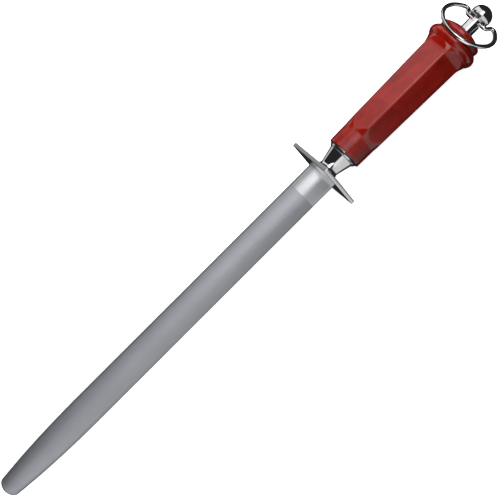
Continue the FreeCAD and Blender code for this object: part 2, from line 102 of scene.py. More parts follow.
# --------------------------------------------------------------------------------------------------
# Outlines
# --------------------------------------------------------------------------------------------------


def arc_through(start: Pair, middle: Pair, end: Pair, steps: int) -> list[Pair]:
    """Points along the arc through three points.

    Args:
        start: First point.
        middle: A point between the ends.
        end: Last point.
        steps: Number of chords.

    Returns:
        steps + 1 points, both ends included.
    """
    (ax, ay), (bx, by), (cx, cy) = start, middle, end
    span = 2 * (ax * (by - cy) + bx * (cy - ay) + cx * (ay - by))
    sa, sb, sc = ax * ax + ay * ay, bx * bx + by * by, cx * cx + cy * cy
    ox = (sa * (by - cy) + sb * (cy - ay) + sc * (ay - by)) / span
    oy = (sa * (cx - bx) + sb * (ax - cx) + sc * (bx - ax)) / span
    radius = math.hypot(ax - ox, ay - oy)
    first = math.atan2(ay - oy, ax - ox)
    sweep = math.remainder(math.atan2(by - oy, bx - ox) - first, math.tau)
    sweep += math.remainder(math.atan2(cy - oy, cx - ox) - math.atan2(by - oy, bx - ox), math.tau)
    turns = [first + sweep * index / steps for index in range(steps + 1)]
    return [(ox + radius * math.cos(turn), oy + radius * math.sin(turn)) for turn in turns]


def softened(corners: Sequence[tuple[float, float, float]], steps: int) -> list[Pair]:
    """A closed outline whose corners are rounded.

    Args:
        corners: Each corner as (x, radius from the axis, rounding).
        steps: Number of chords in each rounding.

    Returns:
        The outline's points in order.
    """
    points: list[Pair] = []
    count = len(corners)
    for index, (x, y, rounding) in enumerate(corners):
        here = Vector((x, y))
        before = Vector(corners[index - 1][:2]) - here
        after = Vector(corners[(index + 1) % count][:2]) - here
        if rounding == 0.0 or before.length == 0.0 or after.length == 0.0:
            points.append((x, y))
            continue
        half = before.angle(after) / 2
        reach = min(rounding / math.tan(half), 0.49 * before.length, 0.49 * after.length)
        start = here + before.normalized() * reach
        end = here + after.normalized() * reach
        inward = (before.normalized() + after.normalized()).normalized()
        bulge = reach / math.cos(half) - reach * math.tan(half)
        middle = here + inward * bulge
        points += arc_through(tuple(start), tuple(middle), tuple(end), steps)
    return points


def spread(start: float, end: float, steps: int) -> list[float]:
    """Evenly spaced values from start to end, both included."""
    return [start + (end - start) * index / steps for index in range(steps + 1)]


def straight(start: Pair, end: Pair, steps: int) -> list[Pair]:
    """Evenly spaced points from start to end, both included."""
    return list(zip(spread(start[0], end[0], steps), spread(start[1], end[1], steps)))


def smooth_least(first: float, second: float, softness: float) -> float:
    """The lesser of two values, rounded off where they are close to each other."""
    overlap = max(softness - abs(first - second), 0.0) / softness
    return min(first, second) - overlap * overlap * softness / 4


def circle(radius: float) -> RingShape:
    """A round ring shape."""
    return lambda angle: radius


def rounded_bar(half_width: float, half_height: float, rounding: float) -> RingShape:
    """A rectangular ring shape with rounded corners, wide along Y.

    Args:
        half_width: Half the size along Y.
        half_height: Half the size along Z.
        rounding: Radius of the corners.

    Returns:
        Distance from the axis by angle.
    """

    def reach(angle: float) -> float:
        """Distance from the axis at an angle.

        Args:
            angle: Angle from +Y towards +Z.

        Returns:
            The distance.
        """
        c, s = abs(math.cos(angle)), abs(math.sin(angle))
        flat = min(half_width / max(c, 1e-9), half_height / max(s, 1e-9))
        y, z = flat * c, flat * s
        corner_y, corner_z = half_width - rounding, half_height - rounding
        if y <= corner_y or z <= corner_z:
            return flat
        along = corner_y * c + corner_z * s
        aside = corner_y * s - corner_z * c
        return along + math.sqrt(max(rounding**2 - aside**2, 0.0))

    return reach


def tang_slot() -> RingShape:
    """The slot that the flat tang runs through."""
    return rounded_bar(SLOT_HALF_WIDTH, SLOT_HALF_HEIGHT, SLOT_ROUNDING)


@dataclass(frozen=True)
class Oval:
    """The blade's flat-oval section: two large arcs for the faces, two small ones for the edges."""

    width: float
    thickness: float
    edge: float

    @property
    def face_radius(self) -> float:
        """Radius of the large arcs."""
        reach, half = self.width / 2 - self.edge, self.thickness / 2
        return (reach**2 + half**2 - self.edge**2) / (2 * (half - self.edge))

    @property
    def joint_turn(self) -> float:
        """Direction of the outline's normal where the two arcs meet, from +Y."""
        reach = self.width / 2 - self.edge
        return math.acos(reach / (self.face_radius - self.edge))

    def at(self, share: float) -> tuple[float, float, float]:
        """A point of the outline.

        Args:
            share: How far round, from 0 at the +Y edge to 1 back there, by length.

        Returns:
            y, z and the direction of the normal there, from +Y towards +Z.
        """
        quarter, rest = divmod((share % 1.0) * 4, 1.0)
        along = rest if quarter % 2 == 0 else 1.0 - rest
        small = self.edge * self.joint_turn
        large = self.face_radius * (math.pi / 2 - self.joint_turn)
        run = along * (small + large)
        if run <= small:
            turn = run / self.edge
            y = self.width / 2 - self.edge + self.edge * math.cos(turn)
            z = self.edge * math.sin(turn)
        else:
            turn = self.joint_turn + (run - small) / self.face_radius
            y = self.face_radius * math.cos(turn)
            z = self.face_radius * math.sin(turn) - (self.face_radius - self.thickness / 2)
        mirrored_y = quarter in (1, 2)
        mirrored_z = quarter in (2, 3)
        if mirrored_y:
            y, turn = -y, math.pi - turn
        if mirrored_z:
            z, turn = -z, -turn
        return y, z, turn

    def reach(self, angle: float) -> float:
        """Reads the section from its centre.

        Args:
            angle: Angle from +Y towards +Z.

        Returns:
            Distance from the axis to the outline.
        """
        c, s = abs(math.cos(angle)), abs(math.sin(angle))
        centre = self.width / 2 - self.edge
        low = self.face_radius - self.thickness / 2
        inside = self.face_radius**2 - (low * c) ** 2
        on_face = -low * s + math.sqrt(inside)
        if on_face * c <= self.face_radius * math.cos(self.joint_turn):
            return on_face
        return centre * c + math.sqrt(max(self.edge**2 - (centre * s) ** 2, 0.0))


# --------------------------------------------------------------------------------------------------
# Meshes
# --------------------------------------------------------------------------------------------------


def as_object(name: str, mesh: bmesh.types.BMesh) -> bpy.types.Object:
    """Turns a mesh into an object of the scene.

    Args:
        name: Name of the object and its mesh.
        mesh: The mesh, which is freed.

    Returns:
        The new object, with its origin at the frame's.
    """
    data = bpy.data.meshes.new(name)
    mesh.to_mesh(data)
    mesh.free()
    made = bpy.data.objects.new(name, data)
    bpy.context.scene.collection.objects.link(made)
    return made


def named(entries: Sequence[dict], name: str) -> dict:
    """The entry of that name among the frame's joints or the record's mounts."""
    return next(entry for entry in entries if entry["name"] == name)


@dataclass
class Skin:
    """A mesh grown ring by ring along a piece, in millimetres."""

    name: str

    def __post_init__(self) -> None:
        """Starts an empty mesh."""
        self.mesh = bmesh.new()
        self.rings: list[list[bmesh.types.BMVert]] = []

    def add(self, points: Sequence[Vector]) -> None:
        """Adds one ring of points, given in millimetres in the blade's own directions."""
        ring = [self.mesh.verts.new(TURN @ (point * MM)) for point in points]
        self.rings.append(ring)

    def bridge(self, first: int, second: int, material: int = 0) -> None:
        """Joins two rings with four-sided faces, or triangles where one ring is a single point.

        Args:
            first: Number of one ring.
            second: Number of the other.
            material: Material slot of the faces.
        """
        a, b = self.rings[first], self.rings[second]
        count = max(len(a), len(b))
        for index in range(count):
            after = (index + 1) % count
            corners = [a[index % len(a)], a[after % len(a)], b[after % len(b)], b[index % len(b)]]
            face = self.mesh.faces.new(dict.fromkeys(corners))
            face.material_index = material

    def cap(self, number: int, material: int) -> None:
        """Closes an end with strips from the upper to the lower half of its ring.

        Args:
            number: Number of the ring.
            material: Material slot of the faces.
        """
        ring = self.rings[number]
        count = len(ring)
        for index in range(count // 2):
            mirror = count - 1 - index
            corners = [ring[index], ring[(index + 1) % count], ring[(mirror - 1) % count], ring[mirror]]
            distinct = list(dict.fromkeys(corners))
            if len(distinct) < 3 or index + 1 > mirror - 1:
                continue
            face = self.mesh.faces.new(distinct)
            face.material_index = material

    def done(self) -> bpy.types.Object:
        """Turns the mesh into a smoothly shaded object.

        Returns:
            The new object.
        """
        bmesh.ops.recalc_face_normals(self.mesh, faces=self.mesh.faces)
        for face in self.mesh.faces:
            face.smooth = True
        return as_object(self.name, self.mesh)


def turned_piece(name: str, outline: Sequence[Pair], angles: Sequence[float],
                 shapes: Sequence[RingShape] | None = None, closed: bool = True) -> bpy.types.Object:
    """A piece turned about the steel's axis.

    Args:
        name: Name of the object.
        outline: Points (x, radius) in order, in millimetres.
        angles: Angles of the points of each ring, from +Y towards +Z.
        shapes: Ring shape of each outline point, where a ring isn't round.
        closed: Whether the last ring joins the first again.

    Returns:
        The new object.
    """
    skin = Skin(name)
    for index, (x, radius) in enumerate(outline):
        shape = shapes[index] if shapes else circle(radius)
        around = angles if radius > 0 else angles[:1]
        reaches = [(angle, shape(angle)) for angle in around]
        skin.add([Vector((x, reach * math.cos(a), reach * math.sin(a))) for a, reach in reaches])
    for index in range(len(outline) - 1):
        skin.bridge(index, index + 1)
    if closed:
        skin.bridge(len(outline) - 1, 0)
    return skin.done()


def even_angles(count: int) -> list[float]:
    """Evenly spaced angles round the axis."""
    return [math.tau * index / count for index in range(count)]


def weighted_normals(piece: bpy.types.Object) -> None:
    """Keeps large faces flat next to small roundings.

    Args:
        piece: The piece.
    """
    modifier = piece.modifiers.new("flat_faces", "WEIGHTED_NORMAL")
    modifier.mode = "FACE_AREA"
    modifier.weight = 80
    modifier.keep_sharp = True


# --------------------------------------------------------------------------------------------------
# Finishes
# --------------------------------------------------------------------------------------------------


class NodeBench:
    """Short words for laying out one shader."""

    def __init__(self, name: str) -> None:
        """Starts a material with only its surface shader.

        Args:
            name: Name of the material.
        """
        self.material = bpy.data.materials.new(name)
        self.material.use_nodes = True
        self.nodes = self.material.node_tree.nodes
        self.links = self.material.node_tree.links
        self.surface = self.nodes["Principled BSDF"]
        self.place = self.nodes.new("ShaderNodeTexCoord").outputs["Object"]

    def set(self, **values: float | Colour) -> None:
        """Sets sockets of the surface shader; an underscore in a name stands for a space.

        Args:
            values: Value of each socket by its name.
        """
        for key, value in values.items():
            socket = self.surface.inputs[key.replace("_", " ")]
            socket.default_value = (*value, 1.0) if isinstance(value, tuple) else value

    def new(self, kind: str, settings: dict[str, object] | None = None,
            **inputs: object) -> bpy.types.Node:
        """A node with its settings and inputs.

        Args:
            kind: Blender's name of the node's type.
            settings: Properties of the node.
            inputs: Values or links of its sockets, an underscore standing for a space.

        Returns:
            The new node.
        """
        node = self.nodes.new(kind)
        for key, value in (settings or {}).items():
            setattr(node, key, value)
        for key, value in inputs.items():
            self.feed(node.inputs[key.replace("_", " ")], value)
        return node

    def feed(self, socket: bpy.types.NodeSocket, value: object) -> None:
        """Links a socket to another's output, or sets its value.

        Args:
            socket: The socket to fill.
            value: An output to link, or a plain value.
        """
        if isinstance(value, bpy.types.NodeSocket):
            self.links.new(value, socket)
        else:
            socket.default_value = value

    def stretched(self, scale: Colour, turn: float = 0.0) -> bpy.types.NodeSocket:
        """Place on the object, in the blade's own directions and with its own scale each way.

        Args:
            scale: Scale along the axis, across the blade and out of its face.
            turn: Further turn in the plane of the blade's face, in radians.

        Returns:
            The place's socket.
        """
        level = self.new("ShaderNodeVectorRotate", {"rotation_type": "X_AXIS"}, Vector=self.place,
                         Angle=-LYING_TURN)
        slanted = self.new("ShaderNodeVectorRotate", {"rotation_type": "Z_AXIS"},
                           Vector=level.outputs["Vector"], Angle=turn)
        scaled = self.new("ShaderNodeMapping", Vector=slanted.outputs["Vector"], Scale=scale)
        return scaled.outputs["Vector"]

    def noise(self, place: bpy.types.NodeSocket, scale: float, detail: float = 3.0,
              distortion: float = 0.0) -> bpy.types.NodeSocket:
        """Noise between 0 and 1.

        Args:
            place: Where to read it.
            scale: Features per metre.
            detail: Octaves.
            distortion: How much it is stirred.

        Returns:
            The noise's socket.
        """
        return self.new("ShaderNodeTexNoise", Vector=place, Scale=scale, Detail=detail,
                        Distortion=distortion).outputs["Fac"]

    def grooves(self, place: bpy.types.NodeSocket, pitch: float, direction: str) -> bpy.types.NodeSocket:
        """Parallel grooves between 0 and 1.

        Args:
            place: Where to read them.
            pitch: Distance between them, in metres.
            direction: X, Y or Z, across which they follow each other.

        Returns:
            The grooves' socket.
        """
        wave = self.new("ShaderNodeTexWave", {"wave_type": "BANDS", "bands_direction": direction},
                        Vector=place, Scale=math.tau / (20.0 * pitch), Distortion=0.0)
        return wave.outputs["Fac"]

    def between(self, share: bpy.types.NodeSocket, low: float, high: float) -> bpy.types.NodeSocket:
        """A share of 0 to 1 read as a value from low to high."""
        return self.new("ShaderNodeMapRange", Value=share, To_Min=low, To_Max=high).outputs["Result"]

    def math(self, operation: str, first: object, second: object) -> bpy.types.NodeSocket:
        """One sum of two sockets or values.

        Args:
            operation: Blender's name of the sum.
            first: First socket or value.
            second: Second socket or value.

        Returns:
            The result's socket.
        """
        node = self.new("ShaderNodeMath", {"operation": operation})
        self.feed(node.inputs[0], first)
        self.feed(node.inputs[1], second)
        return node.outputs["Value"]

    def ramp(self, share: bpy.types.NodeSocket,
             stops: Sequence[tuple[float, Colour]]) -> bpy.types.NodeSocket:
        """Colours along a share.

        Args:
            share: Where to read them, from 0 to 1.
            stops: Each colour with its place.

        Returns:
            The colour's socket.
        """
        node = self.new("ShaderNodeValToRGB", Fac=share)
        elements = node.color_ramp.elements
        while len(elements) < len(stops):
            elements.new(1.0)
        for element, (position, colour) in zip(elements, stops):
            element.position = position
            element.color = (*colour, 1.0)
        return node.outputs["Color"]

    def relief(self, height: bpy.types.NodeSocket, depth: float, strength: float,
               below: bpy.types.NodeSocket | None = None) -> bpy.types.NodeSocket:
        """Surface relief from a height of 0 to 1.

        Args:
            height: The height.
            depth: Its depth in metres.
            strength: Share of the relief's effect.
            below: Normal of a coarser relief under it.

        Returns:
            The normal's socket.
        """
        node = self.new("ShaderNodeBump", Height=height, Distance=depth, Strength=strength)
        if below is not None:
            self.feed(node.inputs["Normal"], below)
        return node.outputs["Normal"]


@dataclass(frozen=True)
class CutSteel:
    """Hard steel with the fine crossed cut that hones the knife."""

    name: str = "cut_steel"
    colour: Colour = (0.50, 0.515, 0.56)
    roughness: float = 0.36
    pitch: float = 0.00042
    slant: float = math.radians(38.0)

    def make(self) -> bpy.types.Material:
        """Lays out the shader.

        Returns:
            The material.
        """
        bench = NodeBench(self.name)
        streaks = bench.noise(bench.stretched((1.0, 60.0, 60.0)), 12.0, detail=5.0)
        cloud = bench.noise(bench.stretched((1.0, 1.0, 1.0)), 26.0, detail=2.0)
        tone = bench.math("ADD", bench.between(streaks, -0.06, 0.06), bench.between(cloud, 0.40, 0.60))
        dark = tuple(0.84 * part for part in self.colour)
        light = tuple(1.16 * part for part in self.colour)
        one_way = bench.grooves(bench.stretched((1.0, 1.0, 1.0), self.slant), self.pitch, "X")
        other_way = bench.grooves(bench.stretched((1.0, 1.0, 1.0), -self.slant), self.pitch, "X")
        crossed = bench.math("MULTIPLY", one_way, other_way)
        grain = bench.noise(bench.stretched((1.0, 1.0, 1.0)), 9000.0, detail=2.0)
        coarse = bench.relief(crossed, 0.00003, 0.7)
        fine = bench.relief(grain, 0.000012, 0.6, coarse)
        bench.set(Metallic=1.0, Specular_IOR_Level=0.5)
        bench.feed(bench.surface.inputs["Base Color"], bench.ramp(tone, [(0.3, dark), (0.7, light)]))
        bench.feed(bench.surface.inputs["Roughness"],
                   bench.between(streaks, self.roughness - 0.05, self.roughness + 0.05))
        bench.feed(bench.surface.inputs["Normal"], fine)
        return bench.material


@dataclass(frozen=True)
class GroundSteel:
    """The same steel ground smooth, with faint lengthwise lines."""

    name: str = "ground_steel"
    colour: Colour = (0.66, 0.67, 0.70)
    roughness: float = 0.2

    def make(self) -> bpy.types.Material:
        """Lays out the shader.

        Returns:
            The material.
        """
        bench = NodeBench(self.name)
        lines = bench.noise(bench.stretched((20.0, 900.0, 900.0)), 4.0, detail=3.0)
        dark = tuple(0.93 * part for part in self.colour)
        bench.set(Metallic=1.0)
        bench.feed(bench.surface.inputs["Base Color"],
                   bench.ramp(lines, [(0.35, dark), (0.65, self.colour)]))
        bench.feed(bench.surface.inputs["Roughness"],
                   bench.between(lines, self.roughness - 0.05, self.roughness + 0.06))
        bench.feed(bench.surface.inputs["Normal"], bench.relief(lines, 0.000004, 0.5))
        return bench.material


@dataclass(frozen=True)
class Chrome:
    """Bright chrome plate, with fine wiping marks and a little haze."""

    name: str = "chrome_plate"
    colour: Colour = (0.86, 0.865, 0.88)
    roughness: float = 0.045
    haze: float = 0.05
    wave: float = 0.00001

    def make(self) -> bpy.types.Material:
        """Lays out the shader.

        Returns:
            The material.
        """
        bench = NodeBench(self.name)
        smudge = bench.noise(bench.stretched((1.0, 1.0, 1.0)), 160.0, detail=4.0, distortion=0.6)
        wipes = bench.noise(bench.stretched((3.0, 1.0, 1.0), math.radians(20.0)), 2600.0, detail=2.0)
        swell = bench.noise(bench.stretched((1.0, 1.0, 1.0)), 240.0, detail=1.0)
        dull = tuple(0.95 * part for part in self.colour)
        bench.set(Metallic=1.0)
        bench.feed(bench.surface.inputs["Base Color"],
                   bench.ramp(smudge, [(0.3, dull), (0.6, self.colour)]))
        bench.feed(bench.surface.inputs["Roughness"],
                   bench.between(smudge, self.roughness, self.roughness + self.haze))
        under = bench.relief(swell, self.wave, 0.5)
        bench.feed(bench.surface.inputs["Normal"], bench.relief(wipes, 0.0000006, 0.4, under))
        return bench.material


@dataclass(frozen=True)
class RubyPlastic:
    """Polished ruby plastic with darker and lighter clouds stirred into it."""

    name: str = "ruby_plastic"
    deep: Colour = (0.142, 0.0032, 0.0008)
    body: Colour = (0.185, 0.0042, 0.0010)
    pale: Colour = (0.218, 0.0080, 0.0034)
    cloud_share: float = 0.72
    roughness: float = 0.17

    def make(self) -> bpy.types.Material:
        """Lays out the shader.

        Returns:
            The material.
        """
        bench = NodeBench(self.name)
        clouds = bench.noise(bench.stretched((0.55, 1.0, 1.0)), 95.0, detail=4.0, distortion=1.4)
        veins = bench.noise(bench.stretched((0.4, 1.0, 1.0), math.radians(25.0)), 260.0, detail=5.0,
                            distortion=2.2)
        tone = bench.math("ADD", bench.math("MULTIPLY", clouds, self.cloud_share),
                          bench.math("MULTIPLY", veins, 1.0 - self.cloud_share))
        colour = bench.ramp(tone, [(0.34, self.deep), (0.47, self.body), (0.66, self.pale)])
        skin = bench.noise(bench.stretched((1.0, 1.0, 1.0)), 700.0, detail=2.0)
        swell = bench.noise(bench.stretched((0.6, 1.0, 1.0)), 60.0, detail=1.0)
        bench.set(Metallic=0.0, IOR=1.5, Coat_Weight=0.35, Coat_Roughness=0.06, Coat_IOR=1.5)
        bench.feed(bench.surface.inputs["Base Color"], colour)
        bench.feed(bench.surface.inputs["Roughness"],
                   bench.between(skin, self.roughness - 0.03, self.roughness + 0.05))
        under = bench.relief(swell, 0.00025, 0.35)
        bench.feed(bench.surface.inputs["Normal"], bench.relief(skin, 0.000006, 0.5, under))
        return bench.material


@dataclass(frozen=True)
class PlainSteel:
    """Bare or zinc-plated steel of the small inner pieces."""

    name: str
    colour: Colour
    roughness: float = 0.35

    def make(self) -> bpy.types.Material:
        """Lays out the shader.

        Returns:
            The material.
        """
        bench = NodeBench(self.name)
        grain = bench.noise(bench.stretched((1.0, 1.0, 1.0)), 1500.0, detail=3.0)
        dark = tuple(0.8 * part for part in self.colour)
        bench.set(Metallic=1.0)
        bench.feed(bench.surface.inputs["Base Color"],
                   bench.ramp(grain, [(0.35, dark), (0.65, self.colour)]))
        bench.feed(bench.surface.inputs["Roughness"],
                   bench.between(grain, self.roughness - 0.08, self.roughness + 0.08))
        bench.feed(bench.surface.inputs["Normal"], bench.relief(grain, 0.00001, 0.4))
        return bench.material


@dataclass(frozen=True)
class Finishes:
    """Every material of the steel."""

    cut: bpy.types.Material
    ground: bpy.types.Material
    chrome: bpy.types.Material
    wire: bpy.types.Material
    plastic: bpy.types.Material
    zinc: bpy.types.Material
    spring: bpy.types.Material

    @classmethod
    def mixed(cls) -> "Finishes":
        """Makes each material once.

        Returns:
            All the finishes.
        """
        return cls(
            cut=CutSteel().make(),
            ground=GroundSteel().make(),
            chrome=Chrome().make(),
            wire=Chrome(name="chrome_wire", roughness=0.06, wave=0.00002).make(),
            plastic=RubyPlastic().make(),
            zinc=PlainSteel("zinc_plate", (0.55, 0.56, 0.58)).make(),
            spring=PlainSteel("blued_spring_steel", (0.20, 0.21, 0.26), 0.3).make(),
        )


def dress(piece: bpy.types.Object, body: Body, node: str, slot: str,
          *materials: bpy.types.Material) -> bpy.types.Object:
    """Gives a piece its materials and its body, and hides the frame's node that it stands for.

    Args:
        piece: The piece.
        body: The body that it rides on.
        node: The node that it stands for.
        slot: The record's material slot; not used.
        materials: Its materials, in the order of their numbers.

    Returns:
        The piece.
    """
    for material in materials:
        piece.data.materials.append(material)
    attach(piece, body.value)
    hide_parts(node)
    return piece


def repaint(node: str, material: bpy.types.Material) -> bpy.types.Object:
    """Gives a node of the frame a new material.

    Args:
        node: The node's name.
        material: Its material.

    Returns:
        The node's object.
    """
    piece = frame["nodes"][node]
    for slot in piece.material_slots:
        slot.material = material
    return piece


# --------------------------------------------------------------------------------------------------
# Sub-assemblies
# --------------------------------------------------------------------------------------------------


@dataclass
class SharpeningRod:
    """The blade and its tang, one forging."""

    width: float = BLADE_WIDTH
    thickness: float = BLADE_THICKNESS
    edge: float = BLADE_EDGE
    taper: float = 79.0
    tip_width: float = 14.806
    tip_thickness: float = 8.0
    tip_edge: float = 2.8
    tip_round: float = 11.5
    tip_chamfer: float = 0.9
    smooth_band: float = 20.0
    grooves: int = 132
    groove_depth: float = 0.035
    tang_width: float = 10.0
    tang_thickness: float = 6.5
    tang_rounding: float = 0.6
    tang_radius: float = 3.0
    thread_length: float = 9.0
    thread_pitch: float = 1.0
    thread_depth: float = 0.3
    thread_chamfer: float = 0.6

    def __post_init__(self) -> None:
        """Reads its length from the frame."""
        low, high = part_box("sharpening_rod")
        self.tip_x = low.x / MM
        self.end_x = high.x / MM
        self.straight_end = self.tip_x + self.taper

    def oval(self, x: float) -> Oval:
        """The blade's section at a place along it.

        Args:
            x: Place along the blade.

        Returns:
            The section there.
        """
        share = min(max((self.straight_end - x) / self.taper, 0.0), 1.0) ** 2
        return Oval(self.width - (self.width - self.tip_width) * share,
                    self.thickness - (self.thickness - self.tip_thickness) * share,
                    self.edge - (self.edge - self.tip_edge) * share)

    def ring(self, x: float, depth: float, inset: float = 0.0, tip_share: float = 0.0) -> list[Vector]:
        """One ring of points round the blade.

        Args:
            x: Place along the blade.
            depth: Depth of the grooves there.
            inset: How far the ring lies inside the section.
            tip_share: Share, 0 to 1, by which it follows the rounded end.

        Returns:
            The ring's points.
        """
        section = self.oval(x)
        points = []
        count = 4 * self.grooves
        for index in range(count):
            y, z, turn = section.at((index + 0.5) / count)
            cut = depth * (0.5 - 0.5 * math.cos(math.tau * index / 4)) + inset
            y -= cut * math.cos(turn)
            z -= cut * math.sin(turn)
            round_x = self.tip_x + self.tip_round - math.sqrt(max(self.tip_round**2 - y * y, 0.0))
            points.append(Vector((x + (round_x - self.tip_x) * tip_share, y, z)))
        return points

    def build_blade(self) -> bpy.types.Object:
        """The blade with its lengthwise grooves, smooth band and rounded tip.

        Returns:
            The blade, not yet dressed.
        """
        skin = Skin("sharpening_rod")
        band = -self.smooth_band
        chamfer_start = self.tip_x + self.tip_chamfer
        round_start = self.tip_x + 2 * self.tip_round
        skin.add(self.ring(SEAT_DEPTH, 0.0))
        for x, depth in ((0.0, 0.0), (band + 0.25, 0.0), (band - 0.35, self.groove_depth),
                         (self.straight_end, self.groove_depth)):
            skin.add(self.ring(x, depth))
        for x in spread(self.straight_end, round_start, 14)[1:]:
            skin.add(self.ring(x, self.groove_depth))
        steps = 12
        for index in range(1, steps + 1):
            x = round_start + (chamfer_start + 0.15 - round_start) * index / steps
            skin.add(self.ring(x, self.groove_depth, 0.0, index / steps))
        skin.add(self.ring(chamfer_start, 0.0, 0.0, 1.0))
        last_cut = len(skin.rings) - 1
        for inset, x in ((0.1, chamfer_start - 0.1), (self.tip_chamfer - 0.1, self.tip_x + 0.1),
                         (self.tip_chamfer, self.tip_x), (self.tip_chamfer + 0.2, self.tip_x)):
            skin.add(self.ring(x, 0.0, inset, 1.0))
        for index in range(len(skin.rings) - 1):
            ground = index < 2 or index >= last_cut
            skin.bridge(index, index + 1, 1 if ground else 0)
        skin.cap(-1, 1)
        skin.cap(0, 1)
        return skin.done()

    def build_tang(self) -> bpy.types.Object:
        """The flat tang and its round threaded end, inside the handle.

        Returns:
            The tang, not yet dressed.
        """
        bar = rounded_bar(self.tang_width / 2, self.tang_thickness / 2, self.tang_rounding)
        outline: list[Pair] = [(SEAT_DEPTH, 0.0), (SEAT_DEPTH, 1.0), (TANG_FLAT_END, 1.0)]
        shapes: list[RingShape] = [circle(0.0), bar, bar]
        thread_start = self.end_x - self.thread_length
        for x in (TANG_FLAT_END, thread_start):
            outline.append((x, self.tang_radius))
            shapes.append(circle(self.tang_radius))
        turns = int((self.end_x - self.thread_chamfer - thread_start) / self.thread_pitch)
        for index in range(turns):
            for share, radius in ((0.5, self.tang_radius - self.thread_depth), (1.0, self.tang_radius)):
                outline.append((thread_start + (index + share) * self.thread_pitch, radius))
                shapes.append(circle(radius))
        for x, radius in ((self.end_x, self.tang_radius - self.thread_chamfer), (self.end_x, 0.0)):
            outline.append((x, radius))
            shapes.append(circle(radius))
        return turned_piece("tang", outline, even_angles(72), shapes, closed=False)

    def build(self, finishes: Finishes) -> list[bpy.types.Object]:
        """Both halves of the forging, dressed.

        Args:
            finishes: Every finish of the steel.

        Returns:
            The blade and the tang.
        """
        blade = dress(self.build_blade(), Body.STEEL, "sharpening_rod", "rod_steel",
                      finishes.cut, finishes.ground)
        tang = dress(self.build_tang(), Body.STEEL, "sharpening_rod", "rod_steel", finishes.ground)
        return [blade, tang]


@dataclass
class GuardPlate:
    """The square plate that stops the knife."""

    side: float = 40.7
    corner: float = 1.0
    rim: float = 0.35
    inner_square: float = 2.0
    seat_clearance: float = 0.1

    def build(self, finishes: Finishes) -> list[bpy.types.Object]:
        """The plate, with its blade seat and tang slot.

        Args:
            finishes: Every finish of the steel.

        Returns:
            The plate alone.
        """
        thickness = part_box("guard_plate")[1].x / MM
        half = self.side / 2
        gap = self.seat_clearance
        seat = Oval(BLADE_WIDTH + 2 * gap, BLADE_THICKNESS + 2 * gap, BLADE_EDGE + gap)
        shapes: list[RingShape] = []
        outline: list[Pair] = []

        def add(x: float, shape: RingShape) -> None:
            """Adds one ring of the plate."""
            outline.append((x, 1.0))
            shapes.append(shape)

        def square(inset: float) -> RingShape:
            """The plate's outline, turned so that its corners point along Y and Z, and inset."""
            shape = rounded_bar(half - inset, half - inset, max(self.corner - inset, 0.2))
            return lambda angle: shape(angle + math.pi / 4)

        rounding = [(self.rim * (1 - math.sin(turn)), self.rim * (1 - math.cos(turn)))
                    for turn in spread(0.0, math.pi / 2, 4)]
        add(0.0, seat.reach)
        add(0.0, square(self.inner_square))
        for depth, inset in reversed(rounding):
            add(depth, square(inset))
        for depth, inset in rounding:
            add(thickness - depth, square(inset))
        add(thickness, square(self.inner_square))
        add(thickness, tang_slot())
        add(SEAT_DEPTH, tang_slot())
        add(SEAT_DEPTH, seat.reach)
        plate = turned_piece("guard_plate", outline, self.angles(half), shapes)
        weighted_normals(plate)
        return [dress(plate, Body.STEEL, "guard_plate", "guard_chrome", finishes.chrome)]

    def angles(self, half: float) -> list[float]:
        """Angles round the plate, close together at its four corners.

        Args:
            half: Half the side of the plate.

        Returns:
            The angles.
        """
        tangent = math.atan2(half, half - self.corner) - math.pi / 4
        angles: list[float] = []
        for side in range(4):
            middle = side * math.pi / 2
            angles += [middle + tangent * share for share in spread(-1.0, 1.0, 8)]
            angles += spread(middle + tangent, middle + math.pi / 2 - tangent, 40)[1:-1]
        return angles


